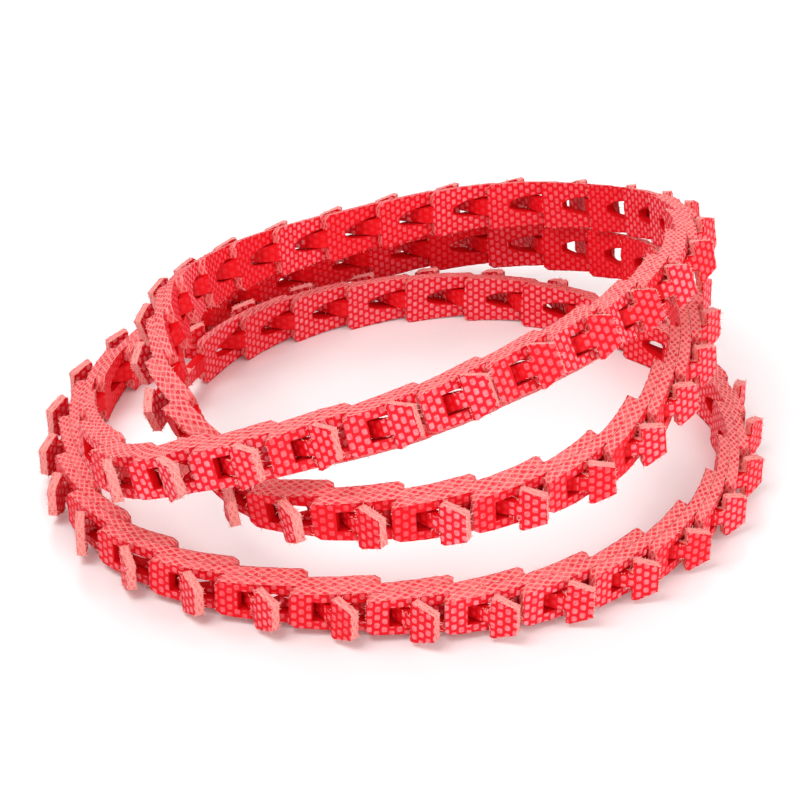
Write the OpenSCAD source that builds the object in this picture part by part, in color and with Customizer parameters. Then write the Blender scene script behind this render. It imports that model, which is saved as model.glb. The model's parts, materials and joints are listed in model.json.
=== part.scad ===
// Twist-lock link V-belt, 13 mm section: one open length, laid down in almost three loose turns.
// Every link is the same flat plate with a V taper. Its far end narrows to a tab that turns out
// through the windows of the next two links and locks there with a T-shaped head.
// The belt lies inside out, as it is supplied, so its wide face looks inward and its heads outward.
// Millimetres, +Z up. It rests on z = 0, with the middle of its outline on the Z axis.

/* [Belt section] */
// Width of the wide face, which is the nominal belt width
wide_w = 13; // [12.6:0.1:13.2]
// Width of the narrow face, where the heads are
narrow_w = 8.8; // [8.4:0.1:9.2]
// Depth of the section from the narrow face to the wide face
belt_t = 7.6; // [7.5:0.1:7.8]

/* [Links] */
// How many links the length has
link_count = 80; // [40:1:80]
// Distance along the belt from one link to the next
pitch = 16.5; // [16.3:0.1:16.5]
// Most that the links of the middle turn are pushed back along the belt by the play in their windows
play = 7; // [0:0.5:8]
// Thickness of one woven plate
plate_t = 2.1; // [1.8:0.1:2.2]
// Distance between the layers of plates, one pitch apart
layer_step = 2.45; // [2.4:0.05:2.5]
// Width of the tab at its root, at the far end of a link
tab_w = 4.2; // [3.8:0.1:4.3]
// Width of the tab where it meets its head
waist_w = 3.6; // [3.2:0.1:3.8]
// Width of the window at its square end
window_w = 4.8; // [4.6:0.1:5]
// Width of the head at its widest
head_w = 10.4; // [9.8:0.1:11]
// Size of the cut-off corners of a plate
corner = 0.9; // [0.5:0.1:1.2]

/* [Ends] */
// How many links at the inner end of the belt can curl, one after the other
free_count = 14; // [4:1:16]

/* [Hidden] */
// Where the belt's centre line runs: azimuth, radius, height and bank, in degrees and millimetres.
// Azimuth is counter-clockwise from above, with 270 at the front. Bank leans the top edge inward.
stations = [
    [180, 66, 18, 0], [220, 79, 26, 0], [240, 76, 37, 10], [260, 67, 44, 20], [300, 58, 52, 30],
    [340, 60, 52, 25], [380, 75, 47, 6], [420, 88, 30, -6], [460, 67, 27, -9], [500, 57, 30, -15],
    [540, 53, 36, -20], [580, 60, 31, -20], [600, 65, 24, -10], [620, 71, 27, 0], [660, 72, 30, 0],
    [700, 69, 34, 5], [740, 74, 32.4, 0], [780, 90, 16.5, -6], [820, 81, 11, 0], [860, 75, 6.5, 0],
    [900, 77, 6.5, 0], [940, 80, 6.5, 0], [980, 76, 6.5, 0], [1020, 79, 6.5, 0], [1060, 82, 6.5, 0],
    [1100, 81, 6.5, 0], [1140, 75, 6.5, 0], [1180, 65, 6.5, 0], [1220, 61, 6.5, 0], [1260, 62, 6.5, 0]
];
// Where the middle of the outline is on the stations' own axes
outline_mid = [2.62, 4.75];
// Azimuth where the belt begins, and the step of the length table
first_az = 190;
az_step = 2;
// Distance along the belt from there to the first link
first_s = 1.0;
// Along a link, in pitches: its cut-off corners, the window's two ends and the shoulder
corner_to = 0.08;
window_from = 0.30;
window_to = 1.79;
shoulder = 2.16;
// Width of the head where it begins and at its narrow tip
head_root_w = head_w - 0.6;
tip_w = 6.8;
// The round fold at the root of the tab, where a link bends: its diameter, length and depth
fold_d = plate_t + 0.2;
fold_l = tab_w - 0.8;
fold_depth = shoulder * layer_step + fold_d / 2 + 0.05;
// Which strips of the width a stretch of a link has: both edges and the middle
FULL = [true, true, true];
EDGES = [true, false, true];
MIDDLE = [false, true, false];
belt_colour = [0.85, 0.16, 0.14];
cut_colour = [0.93, 0.42, 0.36];

// ---- centre line ----
last = len(stations) - 1;
index_by_az = [for (i = [0:last]) [stations[i][0], i]];

function slope_at(i) =
    let (a = stations[max(i - 1, 0)], b = stations[min(i + 1, last)])
    (b - a) / (b[0] - a[0]);

function station_at(az) =
    let (
        i = min(floor(lookup(az, index_by_az)), last - 1),
        p = stations[i],
        q = stations[i + 1],
        h = q[0] - p[0],
        t = (az - p[0]) / h
    )
    p * (2 * t ^ 3 - 3 * t ^ 2 + 1) + q * (3 * t ^ 2 - 2 * t ^ 3)
        + h * slope_at(i) * (t ^ 3 - 2 * t ^ 2 + t) + h * slope_at(i + 1) * (t ^ 3 - t ^ 2);

// Half the width of the section at a depth below its narrow face
function half_width(depth) = (narrow_w + (wide_w - narrow_w) * depth / belt_t) / 2;
// Height of the centre where the belt lies on its edge
rest_z = half_width(layer_step * (shoulder - corner_to) + plate_t);

function centre_at(az) =
    let (s = station_at(az))
    [s[1] * cos(az) - outline_mid[0], s[1] * sin(az) - outline_mid[1], rest_z + max(s[2] - wide_w / 2, 0)];

// Distance along the belt and azimuth, in small steps
length_table = [
    for (
        az = first_az, s = 0;
        az <= stations[last][0] - az_step;
        s = s + norm(centre_at(az + az_step) - centre_at(az)), az = az + az_step
    ) [s, az]
];
function az_at(s) = lookup(s, length_table);

// The belt's frame at a distance along it: centre, outward, onward and across
function frame_at(s) =
    let (
        ahead = centre_at(az_at(s + 1)) - centre_at(az_at(s - 1)),
        along = ahead / norm(ahead),
        side = cross(along, [0, 0, 1]),
        level = side / norm(side),
        rise = cross(level, along),
        bank = station_at(az_at(s))[3]
    )
    [
        centre_at(az_at(s)),
        level * cos(bank) + rise * sin(bank),
        along,
        rise * cos(bank) - level * sin(bank)
    ];

// A point of the section, by its depth below the narrow face and its distance from the middle
function section_point(frame, depth, across) =
    frame[0] + frame[1] * (belt_t / 2 - depth) + frame[3] * across;

// ---- one link ----
// A ring across a link: place of its outer and of its inner face, depth of both, half width
// of the middle strip, and half width of the outer and inner face
function plate_ring(u, middle, inset = 0) =
    let (depth = layer_step * u)
    [u, u, depth, depth + plate_t, middle, half_width(depth) - inset, half_width(depth + plate_t) - inset];
// A tab ring stands square to a tab that rises at an angle to the belt
function tab_ring(u, depth, angle, waist, width = 0) =
    let (
        lean = plate_t / 2 * sin(angle) / pitch,
        rise = plate_t / 2 * cos(angle),
        half = max(waist, width) / 2
    )
    [u - lean, u + lean, depth - rise, depth + rise, waist / 2, half, half];
function loose_ring(u, waist, width = 0) = tab_ring(u, layer_step * u + plate_t / 2, 0, waist, width);

plate_rings = [
    plate_ring(0, window_w / 2, corner),
    plate_ring(corner_to, window_w / 2),
    plate_ring(window_from, window_w / 2),
    plate_ring(0.54, window_w / 2),
    plate_ring(0.79, window_w / 2),
    plate_ring(1 + corner_to, window_w / 2),
    plate_ring(1 + window_from, window_w / 2),
    plate_ring(1.54, window_w / 2 - 0.3),
    plate_ring(1.68, 1.5),
    plate_ring(window_to, 0.7),
    plate_ring(shoulder - corner_to, tab_w / 2),
    plate_ring(shoulder, tab_w / 2, corner)
];
plate_strips = [FULL, FULL, EDGES, EDGES, EDGES, EDGES, EDGES, EDGES, EDGES, FULL, FULL];
locked_tab = [
    tab_ring(2.25, 6.1, 25, tab_w),
    tab_ring(2.35, 4.5, 48, tab_w - 0.3),
    tab_ring(2.60, 0.0, 38, waist_w, head_root_w),
    tab_ring(2.64, -0.5, 34, waist_w, head_w),
    tab_ring(2.89, -3.0, 34, waist_w, tip_w)
];
loose_tab = [
    loose_ring(2.5, tab_w),
    loose_ring(2.7, waist_w),
    loose_ring(2.86, waist_w, head_root_w),
    loose_ring(2.92, waist_w, head_w),
    loose_ring(3.22, waist_w, tip_w)
];
tab_strips = [MIDDLE, MIDDLE, MIDDLE, FULL, FULL];
strips = concat(plate_strips, tab_strips);

// Whether stretch k of a link has strip j
function has(k, j) = k >= 0 && k < len(strips) && j >= 0 && j < 3 && strips[k][j];
function quad(a, b, c, d, turned) = turned ? [[c, b, a], [d, c, a]] : [[a, b, c], [a, c, d]];
// Corner numbers: 8 to a ring, the outer four first
function outer(k, j) = 8 * k + j;
function inner(k, j) = 8 * k + j + 4;

link_faces = [
    for (k = [0:len(strips) - 1])
        for (j = [0:2])
            if (has(k, j)) each concat(
                quad(outer(k, j), outer(k, j + 1), outer(k + 1, j + 1), outer(k + 1, j), false),
                quad(inner(k, j), inner(k, j + 1), inner(k + 1, j + 1), inner(k + 1, j), true)
            ),
    for (k = [0:len(strips) - 1])
        for (j = [0:3])
            if (has(k, j) != has(k, j - 1))
                each quad(outer(k, j), outer(k + 1, j), inner(k + 1, j), inner(k, j), has(k, j - 1)),
    for (k = [0:len(strips)])
        for (j = [0:2])
            if (has(k, j) != has(k - 1, j))
                each quad(outer(k, j), inner(k, j), inner(k, j + 1), outer(k, j + 1), has(k - 1, j))
];

// Where a link starts. The play is greatest half way along the first two turns.
play_from = 8;
play_to = 61;
function play_at(n) =
    n < play_from || n > play_to ? 0 : play * (1 - cos(360 * (n - play_from) / (play_to - play_from))) / 2;
function link_start(n) = first_s + (n - 1) * pitch - play_at(n);

// Link n, counted from the outer end of the belt. The tab of the last one holds nothing.
module link(n) {
    rings = concat(plate_rings, n == link_count ? loose_tab : locked_tab);
    points = [
        for (ring = rings)
            for (face = [0, 1])
                let (frame = frame_at(link_start(n) + ring[face] * pitch))
                for (across = [-ring[5 + face], -ring[4], ring[4], ring[5 + face]])
                    section_point(frame, ring[2 + face], across)
    ];
    color(n % 2 == 0 ? belt_colour : cut_colour) {
        polyhedron(points, link_faces);
        fold(frame_at(link_start(n) + shoulder * pitch));
    }
}

// The round root of a tab, lying across the belt
module fold(frame) {
    at = section_point(frame, fold_depth, 0);
    multmatrix([for (i = [0:2]) [frame[1][i], frame[2][i], frame[3][i], at[i]]])
        cylinder(h = fold_l, d = fold_d, center = true, $fn = 32);
}

// ---- nodes: pairs of links as far as the belt lies still, then single links ----
function two_digits(n) = str(n < 10 ? "0" : "", n);
still_count = link_count - free_count;
pairs = [for (n = [1:2:still_count]) [n, min(n + 1, still_count)]];
singles = [for (n = [still_count + 1:link_count]) n];
function pair_name(p) = str("links_", two_digits(p[0]), "_", two_digits(p[1]));
function single_name(n) = str("link_", two_digits(n));

module link_pair(p) {
    link(p[0]);
    link(p[1]);
}

for (p = pairs)
    link_pair(p);
for (n = singles)
    link(n);
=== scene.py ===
"""A link V-belt laid in a loose coil: woven plates with locking tabs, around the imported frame."""
import json
import math

import bpy
import numpy as np
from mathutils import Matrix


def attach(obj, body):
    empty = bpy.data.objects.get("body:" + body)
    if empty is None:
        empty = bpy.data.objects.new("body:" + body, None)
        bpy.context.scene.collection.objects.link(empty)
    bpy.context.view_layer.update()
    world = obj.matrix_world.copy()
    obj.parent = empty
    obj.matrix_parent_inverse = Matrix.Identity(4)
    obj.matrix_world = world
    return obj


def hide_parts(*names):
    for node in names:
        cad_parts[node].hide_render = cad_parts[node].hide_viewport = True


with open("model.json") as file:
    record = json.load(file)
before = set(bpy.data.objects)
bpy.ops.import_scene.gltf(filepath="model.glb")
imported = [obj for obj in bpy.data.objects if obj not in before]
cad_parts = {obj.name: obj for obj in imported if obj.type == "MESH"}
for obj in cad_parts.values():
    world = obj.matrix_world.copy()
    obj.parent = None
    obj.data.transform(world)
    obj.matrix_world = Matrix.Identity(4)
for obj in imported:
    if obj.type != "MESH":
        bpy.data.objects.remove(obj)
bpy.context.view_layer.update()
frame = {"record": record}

MM = 0.001

# ---- the belt's sizes, as the CAD has them, in millimetres ----
WIDE_W = 13.0
NARROW_W = 8.8
BELT_T = 7.6
LINK_COUNT = 80
PITCH = 16.5
PLAY = 7.0
PLAY_FROM, PLAY_TO = 8, 61
PLATE_T = 2.1
LAYER_STEP = 2.45
TAB_W = 4.2
WAIST_W = 3.6
WINDOW_W = 4.8
HEAD_W = 10.4
HEAD_ROOT_W = HEAD_W - 0.6
TIP_W = 6.8
CORNER = 0.9
CORNER_TO = 0.08
WINDOW_FROM, WINDOW_TO = 0.30, 1.79
SHOULDER = 2.16
# Where the tab, with its painted shade, gives way to the head; past it, some links are a clearer red
HEAD_AT = 2.46
# Where the neck's cut edges end and the head's begin
NECK_TO = 2.58
FIRST_S = 1.0
FIRST_AZ, AZ_STEP = 190, 2
OUTLINE_MID = (2.62, 4.75)
# Plates are drawn a little thicker than in the CAD, so that their layers touch
DRAWN_T = 2.5

# Azimuth, radius, height and bank of the belt's centre line, as in the CAD
STATIONS = np.array([
    [180, 66, 18, 0], [220, 79, 26, 0], [240, 76, 37, 10], [260, 67, 44, 20], [300, 58, 52, 30],
    [340, 60, 52, 25], [380, 75, 47, 6], [420, 88, 30, -6], [460, 67, 27, -9], [500, 57, 30, -15],
    [540, 53, 36, -20], [580, 60, 31, -20], [600, 65, 24, -10], [620, 71, 27, 0], [660, 72, 30, 0],
    [700, 69, 34, 5], [740, 74, 32.4, 0], [780, 90, 16.5, -6], [820, 81, 11, 0], [860, 75, 6.5, 0],
    [900, 77, 6.5, 0], [940, 80, 6.5, 0], [980, 76, 6.5, 0], [1020, 79, 6.5, 0], [1060, 82, 6.5, 0],
    [1100, 81, 6.5, 0], [1140, 75, 6.5, 0], [1180, 65, 6.5, 0], [1220, 61, 6.5, 0], [1260, 62, 6.5, 0],
], float)


# ---- centre line ----
def half_width(depth):
    return (NARROW_W + (WIDE_W - NARROW_W) * depth / BELT_T) / 2


REST_Z = half_width(LAYER_STEP * (SHOULDER - CORNER_TO) + PLATE_T)


def station_slopes():
    before = np.maximum(np.arange(len(STATIONS)) - 1, 0)
    after = np.minimum(np.arange(len(STATIONS)) + 1, len(STATIONS) - 1)
    span = STATIONS[after, 0] - STATIONS[before, 0]
    return (STATIONS[after] - STATIONS[before]) / span[:, None]


SLOPES = station_slopes()


def station_at(az):
    az = np.atleast_1d(az)
    i = np.clip(np.searchsorted(STATIONS[:, 0], az, side="right") - 1, 0, len(STATIONS) - 2)
    p, q = STATIONS[i], STATIONS[i + 1]
    h = (q[:, 0] - p[:, 0])[:, None]
    t = (az[:, None] - p[:, :1]) / h
    return (
        p * (2 * t**3 - 3 * t**2 + 1)
        + q * (3 * t**2 - 2 * t**3)
        + h * SLOPES[i] * (t**3 - 2 * t**2 + t)
        + h * SLOPES[i + 1] * (t**3 - t**2)
    )


def centre_at(az):
    s = station_at(az)
    a = np.radians(np.atleast_1d(az))
    return np.stack([
        s[:, 1] * np.cos(a) - OUTLINE_MID[0],
        s[:, 1] * np.sin(a) - OUTLINE_MID[1],
        REST_Z + np.maximum(s[:, 2] - WIDE_W / 2, 0),
    ], -1)


TABLE_AZ = np.arange(FIRST_AZ, STATIONS[-1, 0] - AZ_STEP + 0.5, AZ_STEP)
TABLE_S = np.concatenate(
    [[0], np.cumsum(np.linalg.norm(np.diff(centre_at(TABLE_AZ), axis=0), axis=1))]
)


def az_at(s):
    return np.interp(s, TABLE_S, TABLE_AZ)


def unit(v):
    return v / np.linalg.norm(v, axis=-1, keepdims=True)


def frame_at(s):
    """Centre, outward, onward and across, at distances along the belt."""
    along = unit(centre_at(az_at(s + 1)) - centre_at(az_at(s - 1)))
    level = unit(np.cross(along, [0, 0, 1]))
    rise = np.cross(level, along)
    bank = np.radians(station_at(az_at(s))[:, 3:4])
    outward = level * np.cos(bank) + rise * np.sin(bank)
    across = rise * np.cos(bank) - level * np.sin(bank)
    return centre_at(az_at(s)), outward, along, across


def link_start(n):
    back = 0.0
    if PLAY_FROM <= n <= PLAY_TO:
        back = PLAY * (1 - math.cos(math.tau * (n - PLAY_FROM) / (PLAY_TO - PLAY_FROM))) / 2
    return FIRST_S + (n - 1) * PITCH - back


# ---- one link, straight: along the belt, depth below its narrow face, and across ----
# Widths of the three strips of a link, in grid cells, and of the plate's thickness
EDGE_CELLS, MIDDLE_CELLS, DEEP_CELLS = 11, 14, 7
CELL = 0.3
FULL, EDGES, MIDDLE = (1, 1, 1), (1, 0, 1), (0, 1, 0)


def plate_ring(u, middle, inset=0.0):
    d = LAYER_STEP * u
    inner_half = min(half_width(d + LAYER_STEP), REST_Z)
    return [u, u, d, d + DRAWN_T, middle, half_width(d) - inset, inner_half - inset]


def tab_ring(u, depth, angle, waist, width=0.0):
    lean = PLATE_T / 2 * math.sin(math.radians(angle)) / PITCH
    rise = PLATE_T / 2 * math.cos(math.radians(angle))
    half = max(waist, width) / 2
    return [u - lean, u + lean, depth - rise, depth + rise, waist / 2, half, half]


def loose_ring(u, waist, width=0.0):
    return tab_ring(u, LAYER_STEP * u + PLATE_T / 2, 0, waist, width)


PLATE = [
    plate_ring(0, WINDOW_W / 2, CORNER),
    plate_ring(CORNER_TO, WINDOW_W / 2),
    plate_ring(WINDOW_FROM, WINDOW_W / 2),
    plate_ring(1 + WINDOW_FROM, WINDOW_W / 2),
    plate_ring(1.54, WINDOW_W / 2 - 0.3),
    plate_ring(1.68, 1.5),
    plate_ring(WINDOW_TO, 0.7),
    plate_ring(SHOULDER - CORNER_TO, TAB_W / 2),
    plate_ring(SHOULDER, TAB_W / 2, CORNER),
]
LOCKED_TAB = [
    tab_ring(2.25, 6.1, 25, TAB_W),
    tab_ring(2.35, 4.5, 48, TAB_W - 0.3),
    tab_ring(2.60, 0.0, 38, WAIST_W, HEAD_ROOT_W),
    tab_ring(2.64, -0.5, 34, WAIST_W, HEAD_W),
    tab_ring(2.89, -3.0, 34, WAIST_W, TIP_W),
]
LOOSE_TAB = [
    loose_ring(2.5, TAB_W),
    loose_ring(2.7, WAIST_W),
    loose_ring(2.86, WAIST_W, HEAD_ROOT_W),
    loose_ring(2.92, WAIST_W, HEAD_W),
    loose_ring(3.22, WAIST_W, TIP_W),
]
STRIPS = [FULL, FULL, EDGES, EDGES, EDGES, EDGES, FULL, FULL, MIDDLE, MIDDLE, MIDDLE, FULL, FULL]


def fine_rings(rings):
    """The rings with rows in between, and the strips that each row's cells have."""
    rings = np.array(rings, float)
    rows, kinds = [], []
    for k, strips in enumerate(STRIPS):
        a, b = rings[k], rings[k + 1]
        run = math.hypot((b[0] - a[0]) * PITCH, b[2] - a[2])
        count = max(1, round(run / CELL))
        for i in range(count):
            rows.append(a + (b - a) * i / count)
            kinds.append(strips)
    rows.append(rings[-1])
    return np.array(rows), np.array(kinds, bool)


def link_grid(rings):
    """Points on a grid of rows, columns and levels, and which cells are cloth.

    A point is its place along, its depth, its place across, its level in the plate and the
    distance to it along the cloth."""
    rows, kinds = fine_rings(rings)
    first, second, outer, inner, middle, edge_out, edge_in = rows.T
    level = np.linspace(0, 1, DEEP_CELLS + 1)
    side = np.linspace(0, 1, EDGE_CELLS + 1)
    centre = np.linspace(-1, 1, MIDDLE_CELLS + 1)
    edge = edge_out[:, None] + (edge_in - edge_out)[:, None] * level
    strip = middle[:, None, None] + (edge - middle[:, None])[:, :, None] * side
    across = np.concatenate([
        -strip[:, :, ::-1],
        (middle[:, None, None] * centre * np.ones((1, DEEP_CELLS + 1, 1)))[:, :, 1:-1],
        strip,
    ], 2).transpose(0, 2, 1)
    depth = (outer[:, None] + (inner - outer)[:, None] * level)[:, None, :] + 0 * across
    along = (first[:, None] + (second - first)[:, None] * level)[:, None, :] * PITCH + 0 * across
    middle_line = np.stack([(first + second) / 2 * PITCH, (outer + inner) / 2], 1)
    run = np.concatenate([[0], np.cumsum(np.linalg.norm(np.diff(middle_line, axis=0), axis=1))])
    cells = np.concatenate([
        np.repeat(kinds[:, :1], EDGE_CELLS, 1),
        np.repeat(kinds[:, 1:2], MIDDLE_CELLS, 1),
        np.repeat(kinds[:, 2:], EDGE_CELLS, 1),
    ], 1)
    values = [along, depth, across, level + 0 * across, run[:, None, None] + 0 * across]
    return np.stack(values, -1), cells


def grid_faces(shape, cells):
    """Quads on the outside of the cells: broad faces first, then cut edges, with which is which."""
    rows, columns, levels = shape
    number = np.arange(rows * columns * levels).reshape(shape)
    padded = np.pad(cells, 1)
    quads, cut = [], []

    def add(a, b, c, d, is_cut):
        quads.append(np.stack([a, b, c, d], -1).reshape(-1, 4))
        cut.append(np.full(len(quads[-1]), is_cut))

    r, c = np.nonzero(cells)
    add(number[r, c, 0], number[r + 1, c, 0], number[r + 1, c + 1, 0], number[r, c + 1, 0], False)
    add(number[r, c, -1], number[r, c + 1, -1], number[r + 1, c + 1, -1], number[r + 1, c, -1], False)
    for k in range(levels - 1):
        for step, flip in ((-1, False), (1, True)):
            r, c = np.nonzero(cells & ~padded[1:-1, 1 + step:][:, :cells.shape[1]])
            e = c + (step > 0)
            quad = [number[r, e, k], number[r, e, k + 1], number[r + 1, e, k + 1], number[r + 1, e, k]]
            add(*(quad[::-1] if flip else quad), True)
            r, c = np.nonzero(cells & ~padded[1 + step:, 1:-1][:cells.shape[0]])
            e = r + (step > 0)
            quad = [number[e, c, k], number[e, c + 1, k], number[e, c + 1, k + 1], number[e, c, k + 1]]
            add(*(quad[::-1] if flip else quad), True)
    return np.concatenate(quads), np.concatenate(cut)


def corner_normals(points, quads):
    """Unit normals at the points, from the quads around each."""
    a, b, c, d = (points[quads[:, i]] for i in range(4))
    face = np.cross(c - a, d - b)
    total = np.zeros_like(points)
    for i in range(4):
        np.add.at(total, quads[:, i], face)
    return total / np.maximum(np.linalg.norm(total, axis=1, keepdims=True), 1e-9)


# How near the window's outline a point counts as in it: across in millimetres, along in pitches
NEAR_ACROSS, NEAR_ALONG = 0.1, 0.02


class Template:
    """A straight link: its points, their level in the plate, quads and where the cut edges are."""

    def __init__(self, rings):
        grid, cells = link_grid(rings)
        quads, self.cut = grid_faces(grid.shape[:3], cells)
        used, self.quads = np.unique(quads, return_inverse=True)
        self.quads = self.quads.reshape(-1, 4)
        points = grid.reshape(-1, 5)[used]
        self.points, self.level, self.run = points[:, :3], points[:, 3], points[:, 4]
        self.normals = corner_normals(self.points, self.quads)
        on_cut = np.zeros(len(used), bool)
        on_cut[self.quads[self.cut]] = True
        on_face = np.zeros(len(used), bool)
        on_face[self.quads[~self.cut]] = True
        self.on_rim, self.on_cut = on_cut & on_face, on_cut & ~on_face
        self.on_face = on_face & ~on_cut
        u, across = self.points[:, 0] / PITCH, np.abs(self.points[:, 2])
        narrow = across < WINDOW_W / 2 + NEAR_ACROSS
        # Where the painted shade of the windows and tabs goes
        self.in_window = on_cut & narrow & (u > WINDOW_FROM - NEAR_ALONG) & (u < HEAD_AT)
        self.on_head = u > HEAD_AT
        self.on_tab = (u > SHOULDER) & (u < np.where(self.on_face, HEAD_AT, NECK_TO))


TEMPLATES = {"locked": Template(PLATE + LOCKED_TAB), "loose": Template(PLATE + LOOSE_TAB)}

# The weave: distance between columns of dots and between dots in a column, half the size of a dot
# along and across the belt, and its relief
DOT_COLUMN, DOT_ROW, DOT_LONG, DOT_WIDE, DOT_RELIEF = 1.62, 2.15, 0.57, 0.70, 0.16
# The cut edge shows the ends of the yarns, in staggered rows: their distance along the edge, how
# many pairs of rows a plate has, how pointed the ends are and their relief
YARN_STEP, YARN_ROWS, YARN_POINT, YARN_RELIEF = 2.7, 1.75, 1.25, 0.12
# How far the rims are rounded off, and how uneven rims and cut edges are
RIM_ROUND, RIM_UNEVEN, CUT_UNEVEN = 0.03, 0.09, 0.06
# The greatest turn of the cloth's pattern in a link, in degrees, and how far it is shifted
CLOTH_TURN, CLOTH_SHIFT = 2.5, 3
# Tones: painted shade in the windows and on the tabs, on the cut edges of the heads, and those a head
# can have
IN_SHADE_TONE, WORN_TONE, HEAD_TONES = -1, 2, (0.3, 0.55, 0.9)
# How the tone of the links goes along the belt, by link number, as painted shade that makes the
# strands in shade a deeper red, and how far one may be off it at random
SHADE_LINKS, SHADE_TONES = (1, 24, 40, 50, 62, 80), (0.55, 0.3, 0.25, 0.0, 0.55, 0.7)
TONE_SPREAD = 0.3
FIRST_SEED = 1000


def dots(x, y):
    """1 in the middle of a dot, 0 at its edge; every other column is half a step off."""
    column = np.round(x / DOT_COLUMN)
    off_x = x - column * DOT_COLUMN
    row = y / DOT_ROW - (column / 2) % 1
    off_y = (row - np.round(row)) * DOT_ROW
    return np.clip(1 - (off_x / DOT_LONG) ** 4 - (off_y / DOT_WIDE) ** 4, 0, 1)


def off_nearest_whole(value):
    return np.abs(value - np.round(value))


def yarns(run, level):
    """1 in the middle of a yarn's end, 0 where it meets the next."""
    cells = [
        (2 * off_nearest_whole(run / YARN_STEP + row)) ** YARN_POINT
        + (2 * off_nearest_whole(level * YARN_ROWS - 0.25 - row)) ** YARN_POINT
        for row in (0, 0.5)
    ]
    return np.clip(1 - np.minimum(*cells), 0, 1)


def ripple(p, rng):
    """A smooth uneven field, a sum of a few waves with their own directions."""
    total = np.zeros(len(p))
    for wavelength, height in ((5.0, 1.0), (2.3, 0.7), (1.1, 0.5)):
        for _ in range(3):
            way = unit(rng.normal(size=3))
            total += height * np.sin(math.tau * (p @ way) / wavelength + rng.uniform(0, math.tau))
    return total / 4


def pattern_place(part, rng):
    """Where each point is in the cloth's pattern, which is cut a little askew for each link."""
    turn = math.radians(rng.uniform(-CLOTH_TURN, CLOTH_TURN))
    shift = rng.uniform(0, CLOTH_SHIFT, 2)
    across = part.points[:, 2]
    x = part.run * math.cos(turn) - across * math.sin(turn) + shift[0]
    y = part.run * math.sin(turn) + across * math.cos(turn) + shift[1]
    return x, y


def relief(part, x, y, rng):
    """How far each point stands off the plain plate."""
    uneven = ripple(part.points, rng)
    lift = np.where(part.on_face, DOT_RELIEF * (dots(x, y) - 1), 0)
    lift -= np.where(part.on_cut, YARN_RELIEF * yarns(x + y, part.level) - CUT_UNEVEN * uneven, 0)
    lift -= np.where(part.on_rim, RIM_ROUND + RIM_UNEVEN * uneven, 0)
    return lift


def tones(n, part, rng):
    """0 for clear deep red with faint dots, 1 for paler red, and the tones of the painted shade in the
    windows and on the tabs, and of the worn. The tone along the belt is painted shade, with each link
    off it at random.
    """
    # Painted shade: the tone follows the belt, a deeper red where the strands lie in shade
    shade_tone = np.interp(n, SHADE_LINKS, SHADE_TONES)
    own = float(np.clip(shade_tone + rng.uniform(-TONE_SPREAD, TONE_SPREAD), 0, 1))
    tone = np.full(len(part.points), own)
    tone[part.on_head] = rng.choice(HEAD_TONES)
    tone[part.on_head & ~part.on_face] = WORN_TONE
    # Painted shade: the windows and tabs get a deep red
    tone[part.in_window | part.on_tab] = IN_SHADE_TONE
    return tone


def link_mesh(n):
    """Points in metres, the weave's coordinates, the colour's tone, quads and their materials."""
    rng = np.random.default_rng(FIRST_SEED + n)
    part = TEMPLATES["loose" if n == LINK_COUNT else "locked"]
    x, y = pattern_place(part, rng)
    local = part.points + part.normals * relief(part, x, y, rng)[:, None]
    hair, hair_quads = fibres(part, local, rng)
    tone = np.concatenate([tones(n, part, rng), np.ones(len(hair))])
    world = to_world(n, np.concatenate([local, hair])) * MM
    cloth = np.concatenate([np.stack([x, y, part.level], 1), hair])
    kinds = np.concatenate([part.cut.astype(int), np.full(len(hair_quads), 2)])
    quads = np.concatenate([part.quads, hair_quads + len(local)])
    return world, cloth, tone, quads, kinds


def to_world(n, local):
    centre, outward, _, wide = frame_at(link_start(n) + local[:, 0])
    return centre + outward * (BELT_T / 2 - local[:, 1:2]) + wide * local[:, 2:3]


# Frayed yarn along the cut edges: how many on a link, their thickness and greatest length, and how
# much likelier they are on the head. Its radius halfway and at the tip, as shares of that at the
# root, and how far the root is sunk in the plate
FIBRE_COUNT, FIBRE_R, FIBRE_LONG, HEAD_FRAY = 220, 0.09, 1.1, 3.0
FIBRE_MIDDLE, FIBRE_TIP, FIBRE_SUNK = 0.7, 0.25, 0.1


def fibres(part, local, rng):
    """Short tapered hairs that stand off the rims, as three-sided spikes of two lengths."""
    weight = (part.on_rim & ~part.in_window) * np.where(part.on_head, HEAD_FRAY, 1.0)
    roots = rng.choice(len(weight), FIBRE_COUNT, p=weight / weight.sum())
    length = FIBRE_LONG * rng.uniform(0.15, 1, (FIBRE_COUNT, 1)) ** 2
    way = unit(part.normals[roots] + 0.8 * rng.normal(size=(FIBRE_COUNT, 3)))
    bend = unit(way + 0.7 * rng.normal(size=(FIBRE_COUNT, 3)))
    side = unit(np.cross(way, rng.normal(size=(FIBRE_COUNT, 3))))
    other = np.cross(way, side)
    start = local[roots] - FIBRE_SUNK * way
    halfway = start + way * length / 2
    stops = (
        (start, FIBRE_R),
        (halfway, FIBRE_MIDDLE * FIBRE_R),
        (halfway + bend * length / 2, FIBRE_TIP * FIBRE_R),
    )
    rings = [
        at + r * (side * math.cos(a) + other * math.sin(a))
        for at, r in stops
        for a in (0, math.tau / 3, 2 * math.tau / 3)
    ]
    points = np.stack(rings, 1).reshape(-1, 3)
    quads = [
        (3 * k + i, 3 * k + (i + 1) % 3, 3 * k + 3 + (i + 1) % 3, 3 * k + 3 + i)
        for k in range(2)
        for i in range(3)
    ]
    every = np.array(quads)[None] + 9 * np.arange(FIBRE_COUNT)[:, None, None]
    return points, every.reshape(-1, 4)


# ---- materials ----
def node(tree, kind, inputs=(), **settings):
    made = tree.nodes.new(kind)
    for name, value in settings.items():
        setattr(made, name, value)
    for slot, value in dict(inputs).items():
        if isinstance(value, bpy.types.NodeSocket):
            tree.links.new(value, made.inputs[slot])
        else:
            made.inputs[slot].default_value = value
    return made


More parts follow.
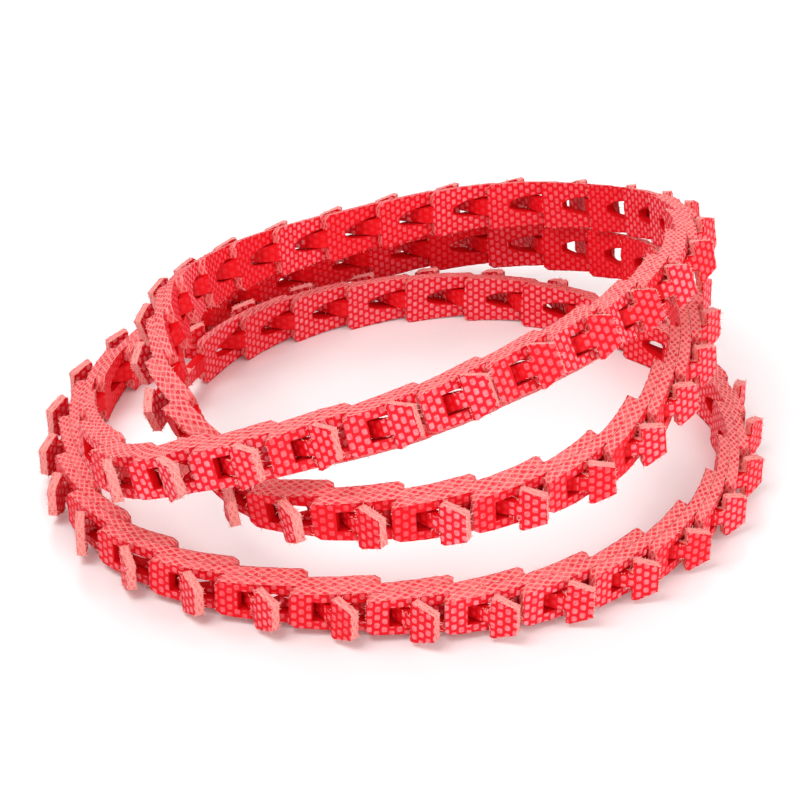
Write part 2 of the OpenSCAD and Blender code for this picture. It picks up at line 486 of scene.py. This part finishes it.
def maths(tree, operation, *values):
    return node(tree, "ShaderNodeMath", enumerate(values), operation=operation).outputs[0]


def mix(tree, share, a, b):
    made = node(tree, "ShaderNodeMix", {0: share, 6: a, 7: b}, data_type="RGBA")
    return made.outputs[2]


def between(tree, value, low, high, to_low=0.0, to_high=1.0):
    made = node(
        tree, "ShaderNodeMapRange",
        {0: value, 1: low, 2: high, 3: to_low, 4: to_high}, interpolation_type="SMOOTHSTEP",
    )
    return made.outputs[0]


def new_material(name, roughness, specular):
    material = bpy.data.materials.new(name)
    material.use_nodes = True
    tree = material.node_tree
    shader = tree.nodes["Principled BSDF"]
    shader.inputs["Roughness"].default_value = roughness
    shader.inputs["Specular IOR Level"].default_value = specular
    return material, tree, shader


def weave_coordinates(tree):
    weave = node(tree, "ShaderNodeAttribute", attribute_name="weave").outputs["Vector"]
    split = node(tree, "ShaderNodeSeparateXYZ", {0: weave})
    return weave, split.outputs


def link_tone(tree):
    return node(tree, "ShaderNodeAttribute", attribute_name="tone").outputs["Fac"]


RED = (0.79, 0.003, 0.009, 1)
PINK_RED = (0.81, 0.015, 0.030, 1)
DOT_RED = (0.86, 0.045, 0.065, 1)
DOT_PINK = (0.96, 0.265, 0.30, 1)
CUT_PINK = (0.94, 0.235, 0.235, 1)
CUT_RED = (0.78, 0.035, 0.052, 1)
# Painted shade: a deep red for the windows and tabs
SHADE_RED = (0.76, 0.003, 0.008, 1)
YARN_PALE = (0.98, 0.46, 0.40, 1)
FRAYED_PALE = (1.0, 0.52, 0.47, 1)
FLOOR_WHITE = (0.95, 0.95, 0.95, 1)


def less(tree, a, b):
    return maths(tree, "SUBTRACT", a, b)


def times(tree, a, b):
    return maths(tree, "MULTIPLY", a, b)


def off_nearest(tree, value):
    return less(tree, value, maths(tree, "ROUND", value))


def blob(tree, a, half_a, b, half_b, power):
    """0 in the middle of a rounded cell of this half size, 1 at its edge, more outside."""
    sides = []
    for value, half in ((a, half_a), (b, half_b)):
        share = maths(tree, "ABSOLUTE", maths(tree, "DIVIDE", value, half))
        sides.append(maths(tree, "POWER", share, power))
    return maths(tree, "ADD", *sides)


def noise(tree, weave, scale, detail):
    inputs = {"Vector": weave, "Scale": scale, "Detail": detail}
    return node(tree, "ShaderNodeTexNoise", inputs).outputs[0]


def add_bump(tree, shader, height, strength, distance):
    bump = node(
        tree, "ShaderNodeBump",
        {"Height": height, "Strength": strength, "Distance": distance * MM},
    )
    tree.links.new(bump.outputs[0], shader.inputs["Normal"])


# How square the dots are, how far they wander and how ragged their outlines are
DOT_SQUARE, DOT_WANDER, DOT_RAGGED = 3.5, 0.5, 1.6
# How far the yarns' ends wander along the edge and into the plate
YARN_WANDER, YARN_WANDER_DEEP = 1.2, 0.3
# Scales of the broad and of the fine unevenness, on faces and on cut edges
FACE_BLUR, FACE_FINE, CUT_BLUR, CUT_FINE = 0.8, 5.0, 0.7, 6.0
# How much of the dots still shows under the painted shade of the windows and tabs
DOTS_IN_SHADE = 0.3


def woven_face():
    material, tree, shader = new_material("woven_face", 0.45, 0.12)
    weave, (x, y, _) = weave_coordinates(tree)
    tone = link_tone(tree)
    blur = noise(tree, weave, FACE_BLUR, 3.0)
    fine = noise(tree, weave, FACE_FINE, 4.0)
    nudge = times(tree, less(tree, blur, 0.5), DOT_WANDER)
    across = maths(tree, "ADD", y, nudge)
    column = maths(tree, "ROUND", maths(tree, "DIVIDE", x, DOT_COLUMN))
    off_x = less(tree, x, times(tree, column, DOT_COLUMN))
    shift = maths(tree, "FRACT", times(tree, column, 0.5))
    row = less(tree, maths(tree, "DIVIDE", across, DOT_ROW), shift)
    off_y = times(tree, off_nearest(tree, row), DOT_ROW)
    cell = blob(tree, off_x, DOT_LONG, off_y, DOT_WIDE, DOT_SQUARE)
    ragged = maths(tree, "ADD", cell, times(tree, less(tree, fine, 0.5), DOT_RAGGED))
    on_dot = between(tree, ragged, 1.25, 0.55)
    # Painted shade: the windows and tabs turn deep red and their dots fade
    painted_shade = between(tree, tone, -0.2, -0.8)
    # Ground and dots follow the tone, paler or deeper red: in part painted shade along the belt
    ground = mix(tree, painted_shade, mix(tree, tone, RED, PINK_RED), SHADE_RED)
    dot_colour = mix(tree, between(tree, tone, -0.1, 0.8), DOT_RED, DOT_PINK)
    strength = times(tree, on_dot, between(tree, blur, 0.3, 0.62, 0.45, 1.0))
    strength = times(tree, strength, between(tree, painted_shade, 1.0, 0.0, DOTS_IN_SHADE, 1.0))
    tree.links.new(mix(tree, strength, ground, dot_colour), shader.inputs["Base Color"])
    height = maths(tree, "ADD", times(tree, on_dot, 0.5), fine)
    add_bump(tree, shader, height, 0.3, 0.1)
    tree.links.new(between(tree, fine, 0.3, 0.7, 0.38, 0.58), shader.inputs["Roughness"])
    return material


def cut_edge():
    material, tree, shader = new_material("cut_edge", 0.75, 0.1)
    weave, (x, y, level) = weave_coordinates(tree)
    blur = noise(tree, weave, CUT_BLUR, 3.0)
    fine = noise(tree, weave, CUT_FINE, 5.0)
    run = maths(tree, "ADD", maths(tree, "ADD", x, y), times(tree, blur, YARN_WANDER))
    wander = times(tree, less(tree, fine, 0.5), YARN_WANDER_DEEP)
    deep = maths(tree, "ADD", times(tree, level, YARN_ROWS), wander)
    cells = []
    for row in (0, 0.5):
        off_run = off_nearest(tree, maths(tree, "ADD", maths(tree, "DIVIDE", run, YARN_STEP), row))
        off_deep = off_nearest(tree, less(tree, deep, 0.25 + row))
        cells.append(blob(tree, off_run, 0.5, off_deep, 0.5, YARN_POINT))
    gap = maths(tree, "ABSOLUTE", less(tree, *cells))
    rim = between(tree, gap, 0.34, 0.10)
    inside = between(tree, maths(tree, "MINIMUM", *cells), 0.62, 0.35)
    inside = times(tree, inside, between(tree, blur, 0.4, 0.58, 0.35, 1.0))
    base = mix(tree, between(tree, fine, 0.35, 0.65), CUT_PINK, mix(tree, 0.4, CUT_PINK, CUT_RED))
    base = mix(tree, inside, base, CUT_RED)
    pale = times(tree, rim, between(tree, fine, 0.35, 0.55, 0.3, 0.9))
    outside = mix(tree, pale, base, YARN_PALE)
    tone = link_tone(tree)
    worn = times(tree, between(tree, tone, 1.2, 1.8), between(tree, fine, 0.38, 0.62, 0.05, 0.75))
    outside = mix(tree, worn, outside, YARN_PALE)
    # Painted shade: the cut edges in the windows and on the tabs turn deep red
    colour = mix(tree, between(tree, tone, -0.2, -0.8), outside, SHADE_RED)
    tree.links.new(colour, shader.inputs["Base Color"])
    height = maths(tree, "ADD", times(tree, rim, 0.7), times(tree, fine, 1.2))
    add_bump(tree, shader, height, 0.6, 0.15)
    return material


def frayed_yarn():
    material, _, shader = new_material("frayed_yarn", 0.8, 0.2)
    shader.inputs["Base Color"].default_value = FRAYED_PALE
    return material


# ---- pieces ----
def build_piece(name, numbers, materials):
    """One object of the links with these numbers, in the frame's own coordinates."""
    links = [link_mesh(n) for n in numbers]
    points, weave, tone, _, kinds = (np.concatenate(part) for part in zip(*links))
    starts = np.cumsum([0] + [len(link[0]) for link in links])
    quads = np.concatenate([link[3] + start for link, start in zip(links, starts)])
    mesh = bpy.data.meshes.new(name)
    mesh.vertices.add(len(points))
    mesh.vertices.foreach_set("co", points.astype(np.float32).ravel())
    mesh.loops.add(quads.size)
    mesh.loops.foreach_set("vertex_index", quads.astype(np.int32).ravel())
    mesh.polygons.add(len(quads))
    mesh.polygons.foreach_set("loop_start", np.arange(0, quads.size, 4, dtype=np.int32))
    mesh.update(calc_edges=True)
    mesh.validate()
    for material in materials:
        mesh.materials.append(material)
    mesh.polygons.foreach_set("material_index", kinds.astype(np.int32))
    mesh.polygons.foreach_set("use_smooth", np.ones(len(quads), bool))
    mesh.attributes.new("weave", "FLOAT_VECTOR", "POINT").data.foreach_set(
        "vector", weave.astype(np.float32).ravel()
    )
    mesh.attributes.new("tone", "FLOAT", "POINT").data.foreach_set(
        "value", tone.astype(np.float32)
    )
    mesh.update()
    piece = bpy.data.objects.new(name, mesh)
    bpy.context.scene.collection.objects.link(piece)
    return piece


def build_belt():
    materials = [woven_face(), cut_edge(), frayed_yarn()]
    bodies = {n: body for body, nodes in frame["record"]["behaviour"]["bodies"].items() for n in nodes}
    for cad_node, body in bodies.items():
        numbers = [int(part) for part in cad_node.split("_")[1:]]
        piece = build_piece("woven_" + cad_node, numbers, materials)
        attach(piece, body)
        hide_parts(cad_node)


# ---- surroundings ----
FLOOR_SIZE = 6
WORLD_STRENGTH = 0.52
# Soft lamps, all aimed at the same point: their names, places, sizes and powers
LIGHT_AIM = (0, 0, 0.03)
LAMPS = (
    ("key", (-0.35, -0.25, 0.8), 0.5, 3.9),
    ("front", (0.2, -0.9, 0.35), 0.5, 2.6),
    ("back", (-0.1, 0.7, 0.6), 0.6, 2.6),
    ("right", (0.75, -0.2, 0.4), 0.5, 2.6),
)


def floor():
    bpy.ops.mesh.primitive_plane_add(size=FLOOR_SIZE, location=(0, 0, 0))
    plane = bpy.context.object
    plane.name = "floor"
    material, _, shader = new_material("pale_floor", 0.35, 0.4)
    shader.inputs["Base Color"].default_value = FLOOR_WHITE
    plane.data.materials.append(material)


def studio():
    world = bpy.data.worlds.new("studio")
    world.use_nodes = True
    background = world.node_tree.nodes["Background"]
    background.inputs["Color"].default_value = (1, 1, 1, 1)
    background.inputs["Strength"].default_value = WORLD_STRENGTH
    bpy.context.scene.world = world
    for name, place, size, power in LAMPS:
        light = bpy.data.lights.new(name, "AREA")
        light.energy, light.size = power, size
        lamp = bpy.data.objects.new(name, light)
        lamp.location = place
        way = np.array(LIGHT_AIM) - np.array(place)
        tilt = math.atan2(math.hypot(way[0], way[1]), -way[2])
        lamp.rotation_euler = (tilt, 0, math.atan2(way[0], -way[1]) + math.pi)
        bpy.context.scene.collection.objects.link(lamp)


CAMERA_ELEVATION = 30.7
CAMERA_DISTANCE = 0.598
CAMERA_AIM = (-0.00092, -0.00475, 0.014)
CAMERA_LENS, CAMERA_SENSOR = 111.15, 36


def camera():
    tilt = math.radians(CAMERA_ELEVATION)
    data = bpy.data.cameras.new("camera")
    data.lens, data.sensor_width = CAMERA_LENS, CAMERA_SENSOR
    data.clip_start, data.clip_end = 0.01, 20
    view = bpy.data.objects.new("camera", data)
    view.location = (
        CAMERA_AIM[0],
        CAMERA_AIM[1] - CAMERA_DISTANCE * math.cos(tilt),
        CAMERA_AIM[2] + CAMERA_DISTANCE * math.sin(tilt),
    )
    view.rotation_euler = (math.pi / 2 - tilt, 0, 0)
    bpy.context.scene.collection.objects.link(view)
    bpy.context.scene.camera = view


camera()
floor()
studio()
build_belt()
bpy.context.scene.view_settings.view_transform = "Standard"
